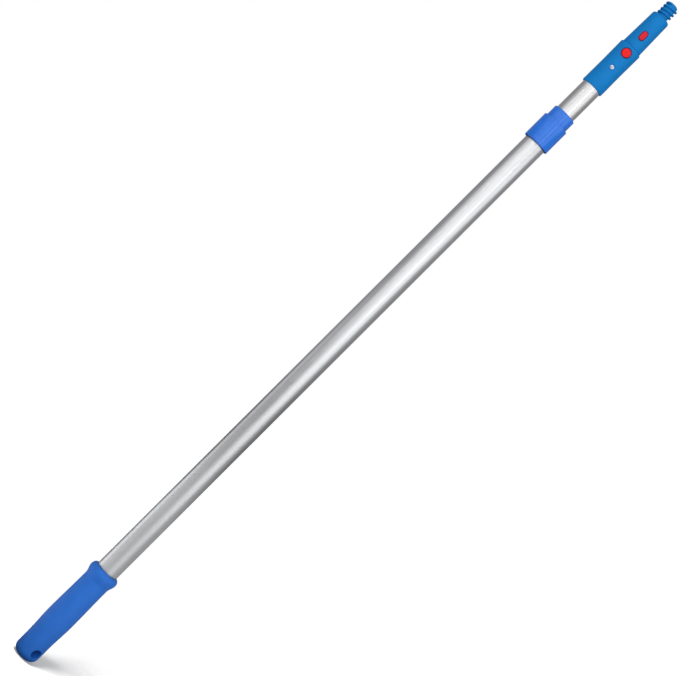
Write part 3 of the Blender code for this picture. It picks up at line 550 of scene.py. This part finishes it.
white_nylon = moulded_plastic("natural_nylon", "D9D9D4", 0.45)
keep_cad("collet_sleeve", white_nylon)


def headed_aluminium(name, colour, roughness):
    """Aluminium as the rivet press leaves it: bright, with fine scuffs from the die."""
    look = bpy.data.materials.new(name)
    look.use_nodes = True
    tree = look.node_tree
    shader = tree.nodes["Principled BSDF"]
    shader.inputs["Metallic"].default_value = 1.0
    shader.inputs["Base Color"].default_value = linear(colour)
    place = add_node(tree, "ShaderNodeTexCoord").outputs["Object"]
    scuffs = add_node(
        tree, "ShaderNodeTexNoise", {"Scale": 1.0 / (0.5 * MM), "Detail": 3.0}, {"Vector": place}
    )
    gloss = add_node(
        tree, "ShaderNodeMapRange", {"To Min": roughness - 0.08, "To Max": roughness + 0.1},
        {"Value": scuffs.outputs["Fac"]},
    )
    tree.links.new(gloss.outputs[0], shader.inputs["Roughness"])
    relief = add_node(
        tree, "ShaderNodeBump", {"Strength": 0.3, "Distance": 0.01 * MM},
        {"Height": scuffs.outputs["Fac"]},
    )
    tree.links.new(relief.outputs[0], shader.inputs["Normal"])
    return look


rivet_aluminium = headed_aluminium("headed_rivet_aluminium", "C2C6DC", 0.36)
for rivet in SLEEVE_RIVETS:
    keep_cad(rivet, rivet_aluminium)

# ---- Squeeze ring --------------------------------------------------------------------------
# A split acetal ring inside the collar, which the collar's cone closes on to the inner tube.
# It can't be seen, so its frame solid stays.

keep_cad("squeeze_ring", white_nylon)

# ---- Lock nut ------------------------------------------------------------------------------
# The blue collar: a moulded nut with a wide threaded barrel below and a stepped-down nose that
# runs round the inner tube. It has a glossy mould finish and eased edges.

NUT_BARREL = 35.3 * MM
NUT_NOSE_R = 15.6 * MM
NUT_EDGE = 0.8 * MM
NUT_STEP_EDGE = 0.4 * MM
NUT_BORE_R = 16.7 * MM
NUT_SEAT_R = 14.7 * MM  # narrow end of the cone that closes the squeeze ring
NUT_NOSE_BORE_R = 13.6 * MM
RING_CONE = 6.5 * MM
LOCK_PITCH = 3.0 * MM
NUT_THREAD_TURNS = 1.75
NUT_RIDGE = 0.8 * MM
NUT_FIRST_RIDGE = 16.0 * MM  # above the nut's lower edge
RIDGE_START = math.radians(1.7)
RIDGE_SUNK = 0.4  # a ridge's foot inside the wall, as a share of its height


def wound_ridge(name, corners, pitch, turns, segments):
    """Winds a closed outline up a right-hand helix and closes both its ends."""
    piece = draw_outline(name, corners + corners[:1])
    bpy.ops.mesh.remove_doubles(threshold=0.002 * MM)
    bpy.ops.object.mode_set(mode="OBJECT")
    steps = round(turns * segments)
    angle = 2.0 * math.pi * steps / segments
    apply(
        piece, "SCREW", angle=angle, screw_offset=pitch * steps / segments,
        steps=steps, render_steps=steps,
    )
    bpy.ops.object.mode_set(mode="EDIT")
    bpy.ops.mesh.select_all(action="SELECT")
    bpy.ops.mesh.fill_holes(sides=0)
    bpy.ops.mesh.normals_make_consistent(inside=False)
    bpy.ops.object.mode_set(mode="OBJECT")
    piece.rotation_euler.z = RIDGE_START
    return settle(piece)


nut_low, nut_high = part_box("lock_nut")
ring_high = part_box("squeeze_ring")[1]
nut_step_z = nut_low.z + NUT_BARREL
cone_z = ring_high.z - RING_CONE
seat_z = ring_high.z + FIT
outline = [(NUT_NOSE_BORE_R, nut_high.z - NUT_STEP_EDGE)]
outline += arc(
    (NUT_NOSE_BORE_R + NUT_STEP_EDGE, nut_high.z - NUT_STEP_EDGE),
    (NUT_STEP_EDGE, NUT_STEP_EDGE), 165.0, 90.0, 4,
)
outline += arc((NUT_NOSE_R - NUT_EDGE, nut_high.z - NUT_EDGE), (NUT_EDGE, NUT_EDGE), 90.0, 0.0, 6)
outline += arc(
    (NUT_NOSE_R + NUT_STEP_EDGE, nut_step_z + NUT_STEP_EDGE),
    (NUT_STEP_EDGE, NUT_STEP_EDGE), 180.0, 270.0, 4,
)
outline += arc(
    (nut_high.x - NUT_STEP_EDGE, nut_step_z - NUT_STEP_EDGE),
    (NUT_STEP_EDGE, NUT_STEP_EDGE), 90.0, 0.0, 5,
)
outline += arc((nut_high.x - NUT_EDGE, nut_low.z + NUT_EDGE), (NUT_EDGE, NUT_EDGE), 0.0, -75.0, 6)
outline += [
    (NUT_BORE_R, nut_low.z),
    (NUT_BORE_R, cone_z),
    (NUT_SEAT_R, ring_high.z),
    (NUT_SEAT_R, seat_z),
    (NUT_NOSE_BORE_R, seat_z),
]
lock_nut = turned("moulded_lock_nut", outline + outline[:1])
ridge_z = nut_low.z + NUT_FIRST_RIDGE
ridge_foot_r = NUT_BORE_R + RIDGE_SUNK * NUT_RIDGE
corners = [
    (ridge_foot_r, ridge_z - NUT_RIDGE), (NUT_BORE_R - NUT_RIDGE, ridge_z - NUT_RIDGE / 2),
    (NUT_BORE_R - NUT_RIDGE, ridge_z + NUT_RIDGE / 2), (ridge_foot_r, ridge_z + NUT_RIDGE),
]
carve(lock_nut, wound_ridge("nut_thread", corners, LOCK_PITCH, NUT_THREAD_TURNS, 64), "UNION")
soften(lock_nut)
collar_blue = moulded_plastic("glossy_collar_blue", "1870DA", 0.22, relief_mm=0.002, specular=0.5)
finish(lock_nut, collar_blue, "collar_blue", "lock_nut", "lock_nut")

# ---- Inner tube ----------------------------------------------------------------------------
# The upper section is a 26.5 mm aluminium tube of the same kind. A rolled bead near its lower
# end stops it from being pulled out of the collar.

INNER_R = 13.25 * MM
INNER_WALL = 1.0 * MM
BEAD_WIDTH = 4.0 * MM
SOCKET_RIVET_HOLE_R = 1.9 * MM
STOP_RISE = 86.5 * MM  # bead's upper edge above the tube's lower end

inner_low, inner_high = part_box("inner_tube")
bead_z = inner_low.z + STOP_RISE - BEAD_WIDTH / 2
bead_proud = inner_high.x - INNER_R
rolled = arc((INNER_R, bead_z), (bead_proud, BEAD_WIDTH / 2), 90.0, -90.0, 10)
groove = [(r - INNER_WALL, z) for r, z in reversed(rolled)]
outline = [(INNER_R - CUT_EDGE, inner_high.z), (INNER_R, inner_high.z - CUT_EDGE), *rolled]
outline += [(INNER_R, inner_low.z + CUT_EDGE), (INNER_R - CUT_EDGE, inner_low.z)]
outline += [(INNER_R - INNER_WALL, inner_low.z), *groove, (INNER_R - INNER_WALL, inner_high.z)]
inner_tube = turned("drawn_inner_tube", outline + outline[:1])
rivet_z = middle("socket_rivet_front")
for side in (FRONT, BACK):
    drill(inner_tube, SOCKET_RIVET_HOLE_R, INNER_R / 2, rivet_z, side)
soften(inner_tube)
inner_aluminium = anodised_aluminium("satin_anodised_inner", "D0D0D0", 0.33)
finish(inner_tube, inner_aluminium, "inner_aluminium", "inner_section", "inner_tube")

# ---- Tail plug and guide ring --------------------------------------------------------------
# A black plug closes the inner tube's lower end, and a split acetal ring in its groove slides
# in the outer tube. Both are inside the pole, so their frame solids stay.

keep_cad("tail_plug", black_nylon)
keep_cad("guide_ring", white_nylon)

# ---- Adapter socket ------------------------------------------------------------------------
# A blue sleeve, moulded slightly waisted and riveted on the inner tube's upper end. It has a
# round window for the release button and a recess for each rivet's head.

SOCKET_R = 15.25 * MM
SOCKET_WAIST_R = 15.0 * MM
SOCKET_BORE_R = 13.55 * MM
SPIGOT_BORE_R = 12.6 * MM
SOCKET_TUBE_DEPTH = 43.3 * MM
SOCKET_ROUND = 1.6 * MM
SOCKET_TOP_EDGE = 0.4 * MM
WINDOW_R = 6.45 * MM
WINDOW_LIP = 1.1 * MM
RIVET_RECESS_R = 3.8 * MM
RIVET_RECESS = 0.65 * MM
RIVET_LIP = 0.3 * MM
HOLLOW_R = 10.5 * MM  # bore of the cone's spigot

socket_low, socket_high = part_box("adapter_socket")
socket_mid_z = (socket_low.z + socket_high.z) / 2
outline = [(SPIGOT_BORE_R, socket_high.z)]
outline += arc(
    (SOCKET_R - SOCKET_TOP_EDGE, socket_high.z - SOCKET_TOP_EDGE),
    (SOCKET_TOP_EDGE, SOCKET_TOP_EDGE), 90.0, 0.0, 4,
)
outline += eased((SOCKET_R, socket_high.z - SOCKET_ROUND), (SOCKET_WAIST_R, socket_mid_z), 14)
outline += eased((SOCKET_WAIST_R, socket_mid_z), (SOCKET_R, socket_low.z + SOCKET_ROUND), 14)
outline += arc(
    (SOCKET_R - SOCKET_ROUND, socket_low.z + SOCKET_ROUND),
    (SOCKET_ROUND, SOCKET_ROUND), 0.0, -90.0, 8,
)
outline += [
    (SOCKET_BORE_R, socket_low.z),
    (SOCKET_BORE_R, socket_low.z + SOCKET_TUBE_DEPTH),
    (SPIGOT_BORE_R, socket_low.z + SOCKET_TUBE_DEPTH),
]
socket = turned("moulded_adapter_socket", outline + outline[:1])
release_z = middle("release_button")
window = flared_tool(WINDOW_R, WINDOW_LIP, SOCKET_WAIST_R + 0.1 * MM)
carve(socket, point_out(window, release_z, FRONT))
recess_floor = SOCKET_WAIST_R - RIVET_RECESS
for side in (FRONT, BACK):
    outline = [
        (0.0, HOLLOW_R), (SOCKET_RIVET_HOLE_R, HOLLOW_R), (SOCKET_RIVET_HOLE_R, recess_floor),
        (RIVET_RECESS_R, recess_floor),
        (RIVET_RECESS_R, SOCKET_WAIST_R - RIVET_LIP),
        (RIVET_RECESS_R + RIVET_LIP, SOCKET_WAIST_R),
        (RIVET_RECESS_R + RIVET_LIP, SOCKET_WAIST_R + 2.0 * MM), (0.0, SOCKET_WAIST_R + 2.0 * MM),
    ]
    carve(socket, point_out(turned("rivet_counterbore", outline, 48), rivet_z, side))
soften(socket)
adapter_blue = moulded_plastic("adapter_blue", "0078C0", 0.48, relief_mm=0.005, specular=0.15)
finish(socket, adapter_blue, "adapter_blue", "inner_section", "adapter_socket")

# ---- Socket rivets -------------------------------------------------------------------------
# Two aluminium blind rivets through the socket and the tube, one on each side. Each has a
# domed head with the broken end of its mandrel in the middle, and a set bulb inside.

RIVET_HEAD_R = 2.9 * MM
RIVET_SHANK_R = 1.6 * MM
RIVET_DOME = 1.1 * MM
RIVET_BULB_R = 2.4 * MM
MANDREL_R = 0.75 * MM
MANDREL_PIT = 0.45 * MM

under_head = recess_floor + FIT
bulb_top = math.sqrt((INNER_R - INNER_WALL) ** 2 - RIVET_BULB_R**2) - FIT
head_top = under_head + RIVET_DOME
outline = [(0.0, head_top - MANDREL_PIT / 2), (MANDREL_R * 0.7, head_top - MANDREL_PIT * 0.6)]
outline += [(MANDREL_R, head_top - MANDREL_PIT * 1.2), (MANDREL_R * 1.3, head_top - MANDREL_PIT)]
outline += arc((0.0, under_head), (RIVET_HEAD_R, RIVET_DOME), 66.0, 8.0, 12)
outline += [(RIVET_HEAD_R * 0.96, under_head), (RIVET_SHANK_R, under_head), (RIVET_SHANK_R, bulb_top)]
outline += arc((0.0, bulb_top), (RIVET_BULB_R, RIVET_BULB_R), 0.0, -84.0, 8)
outline += [(0.0, bulb_top - RIVET_BULB_R)]
for node, side in (("socket_rivet_front", FRONT), ("socket_rivet_back", BACK)):
    rivet = point_out(turned(f"blind_{node}", outline, 48), rivet_z, side)
    soften(rivet)
    finish(rivet, rivet_aluminium, "rivet_aluminium", "inner_section", node)

# ---- Tool cone -----------------------------------------------------------------------------
# A hollow blue moulding. Its spigot sits in the socket, its body tapers to a shoulder, and its
# tip has the 3/4 inch thread, five turns to the inch, that brushes and squeegees screw on to.

SPIGOT_LENGTH = 22.7 * MM
CONE_LENGTH = 53.0 * MM
CONE_BASE_R = 13.6 * MM
CONE_TOP_R = 12.4 * MM
CONE_SHOULDER = 2.5 * MM
SPIGOT_R = 12.3 * MM
SPIGOT_CHAMFER = 0.6 * MM
CONE_HOLLOW = 38.0 * MM
CONE_CORE_R = 3.5 * MM
TIP_CAP = 6.0 * MM
TIP_ROUND = 2.6 * MM
TIP_ROOT_R = 7.1 * MM
TIP_MAJOR_R = 9.525 * MM
TIP_PITCH = 5.08 * MM
TIP_CREST = 1.88 * MM
TIP_TURNS = 3.55
TIP_LEAD = 3.64 * MM
TIP_FLANK = math.radians(14.5)
TIP_EDGE = 0.3 * MM
TIP_SUNK = 1.0 * MM  # the thread's foot inside the tip
CATCH_LENGTH = 12.6 * MM
CATCH_WIDTH = 6.9 * MM
CATCH_CLEARANCE = 0.45 * MM


def pull_apart(piece, distance):
    """Pulls a turned piece's two halves apart along X, so that its round becomes a slot."""
    for direction in (1.0, -1.0):
        use(piece)
        for vertex in piece.data.vertices:
            vertex.select = vertex.co.x * direction > 0.01 * MM
        for element in (*piece.data.edges, *piece.data.polygons):
            element.select = False
        bpy.ops.object.mode_set(mode="EDIT")
        bpy.ops.transform.translate(value=(direction * distance / 2, 0.0, 0.0))
        bpy.ops.object.mode_set(mode="OBJECT")
    return piece


cone_low, cone_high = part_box("cone_adapter")
base_z = cone_low.z + SPIGOT_LENGTH
shoulder_z = base_z + CONE_LENGTH
tip_z = cone_high.z
hollow_top = base_z + CONE_HOLLOW
outline = [(0.0, tip_z)]
outline += arc((TIP_ROOT_R - TIP_ROUND, tip_z - TIP_ROUND), (TIP_ROUND, TIP_ROUND), 90.0, 0.0, 8)
outline += [(TIP_ROOT_R, shoulder_z)]
outline += arc(
    (CONE_TOP_R - CONE_SHOULDER, shoulder_z - CONE_SHOULDER),
    (CONE_SHOULDER, CONE_SHOULDER), 90.0, 0.0, 9,
)
side_height = CONE_LENGTH - CONE_SHOULDER
for step in range(1, 12):
    share = step / 12
    outline.append((
        CONE_TOP_R + (CONE_BASE_R - CONE_TOP_R) * share,
        base_z + side_height * (1.0 - share),
    ))
outline += arc(
    (CONE_BASE_R - SOCKET_TOP_EDGE, base_z + SOCKET_TOP_EDGE),
    (SOCKET_TOP_EDGE, SOCKET_TOP_EDGE), 0.0, -90.0, 3,
)
outline += [
    (SPIGOT_R, base_z), (SPIGOT_R, cone_low.z + SPIGOT_CHAMFER),
    (SPIGOT_R - SPIGOT_CHAMFER, cone_low.z), (HOLLOW_R, cone_low.z), (HOLLOW_R, hollow_top),
    (CONE_CORE_R, hollow_top + HOLLOW_R - CONE_CORE_R), (CONE_CORE_R, tip_z - TIP_CAP),
    (0.0, tip_z - TIP_CAP),
]
cone = turned("moulded_tool_cone", outline)

flank = (TIP_MAJOR_R - TIP_ROOT_R) * math.tan(TIP_FLANK)
sunk_r = TIP_ROOT_R - TIP_SUNK
sunk = TIP_CREST / 2 + (TIP_MAJOR_R - sunk_r) * math.tan(TIP_FLANK)
thread_z = shoulder_z + TIP_CREST / 2 + flank + FIT
edge_r = TIP_MAJOR_R - TIP_EDGE
crest = TIP_CREST / 2 - TIP_EDGE
corners = [
    (sunk_r, thread_z - sunk),
    (edge_r, thread_z - TIP_CREST / 2 - TIP_EDGE * math.tan(TIP_FLANK)),
    (TIP_MAJOR_R, thread_z - crest),
    (TIP_MAJOR_R, thread_z + crest),
    (edge_r, thread_z + TIP_CREST / 2 + TIP_EDGE * math.tan(TIP_FLANK)),
    (sunk_r, thread_z + sunk),
]
carve(cone, wound_ridge("tip_thread", corners, TIP_PITCH, TIP_TURNS, 72), "UNION")
lead_z = tip_z - TIP_LEAD
lead_r = TIP_ROOT_R - TIP_ROUND
outline = [(2 * TIP_MAJOR_R, tip_z + TIP_ROUND), (2 * TIP_MAJOR_R, lead_z)]
outline += arc((lead_r, lead_z), (TIP_MAJOR_R - lead_r, TIP_LEAD), 0.0, 75.0, 12)
outline += [(lead_r, tip_z + TIP_ROUND)]
carve(cone, turned("tip_rounding_tool", outline + outline[:1]))

carve(cone, point_out(turned("spigot_window_tool", [
    (0.0, HOLLOW_R / 2), (WINDOW_R, HOLLOW_R / 2), (WINDOW_R, 2 * SPIGOT_R), (0.0, 2 * SPIGOT_R),
], 64), release_z, FRONT))
catch_z = middle("tool_catch")
catch_surface_r = CONE_BASE_R - (CONE_BASE_R - CONE_TOP_R) * (catch_z - base_z) / side_height
catch_slot = flared_tool(
    CATCH_WIDTH / 2 + CATCH_CLEARANCE, WINDOW_LIP, catch_surface_r, HOLLOW_R / 2
)
pull_apart(catch_slot, CATCH_LENGTH - CATCH_WIDTH)
carve(cone, point_out(catch_slot, catch_z, FRONT))
soften(cone)
finish(cone, adapter_blue, "adapter_blue", "inner_section", "cone_adapter")

# ---- Spring carrier and springs ------------------------------------------------------------
# A half-round nylon bar inside the cone, and the two coil springs that stand on its pegs and
# push the buttons out. The buttons hide them, so their frame solids stay.

keep_cad("spring_carrier", white_nylon)
spring_steel = headed_aluminium("drawn_spring_steel", "8E9094", 0.3)
keep_cad("release_spring", spring_steel)
keep_cad("catch_spring", spring_steel)

# ---- Release button ------------------------------------------------------------------------
# A round red button, moulded glossy with a gently domed top. It stands in the socket's window
# and holds the cone in, and a flange behind the wall keeps it from falling out.

RELEASE_R = 5.8 * MM
RELEASE_PROUD = 0.9 * MM
RELEASE_EDGE = 1.1 * MM
RELEASE_CROWN = 0.35 * MM
BUTTON_LIP = 1.2 * MM
BUTTON_FLANGE = 1.5 * MM
SPRING_ROOF = 4.8 * MM
RELEASE_POCKET_R = 2.85 * MM


def flange_top(half_width):
    """How far out a flat flange of this half width reaches inside the cone's round bore."""
    return math.sqrt(HOLLOW_R**2 - half_width**2) - FIT


def button_outline(radius, top, flange_z, edge, crown, pocket_r):
    """A button's (r, z) outline: crowned top, rounded edge, straight side, flange and pocket."""
    shoulder_z = top - crown
    points = [(0.0, top)]
    for step in range(1, 7):
        r = (radius - edge) * step / 7
        points.append((r, top - crown * (r / (radius - edge)) ** 2))
    points += arc((radius - edge, shoulder_z - edge), (edge, edge), 90.0, 0.0, 6)
    points += [
        (radius, flange_z), (radius + BUTTON_LIP, flange_z),
        (radius + BUTTON_LIP, flange_z - BUTTON_FLANGE), (pocket_r, flange_z - BUTTON_FLANGE),
        (pocket_r, top - SPRING_ROOF), (0.0, top - SPRING_ROOF),
    ]
    return points


outline = button_outline(
    RELEASE_R, SOCKET_R + RELEASE_PROUD, flange_top(RELEASE_R + BUTTON_LIP),
    RELEASE_EDGE, RELEASE_CROWN, RELEASE_POCKET_R,
)
release = point_out(turned("moulded_release_button", outline, 64), release_z, FRONT)
soften(release)
button_red = moulded_plastic("glossy_button_red", "EC0808", 0.35, relief_mm=0.004)
finish(release, button_red, "button_red", "release_button", "release_button")

# ---- Tool catch ----------------------------------------------------------------------------
# A slot-shaped red catch, moulded like the release button. It springs out into the tool's
# handle and keeps the tool from turning on the thread.

CATCH_PROUD = 1.0 * MM
CATCH_EDGE = 0.9 * MM
CATCH_CROWN = 0.15 * MM
CATCH_POCKET_R = 2.25 * MM

outline = button_outline(
    CATCH_WIDTH / 2, catch_surface_r + CATCH_PROUD, flange_top(CATCH_WIDTH / 2 + BUTTON_LIP),
    CATCH_EDGE, CATCH_CROWN, CATCH_POCKET_R,
)
catch = pull_apart(turned("moulded_tool_catch", outline, 64), CATCH_LENGTH - CATCH_WIDTH)
point_out(catch, catch_z, FRONT)
soften(catch)
# The catch's red is the release button's red painted darker: painted shade.
catch_red = moulded_plastic("glossy_catch_red", "D40A26", 0.3, relief_mm=0.004)
finish(catch, catch_red, "catch_red", "tool_catch", "tool_catch")
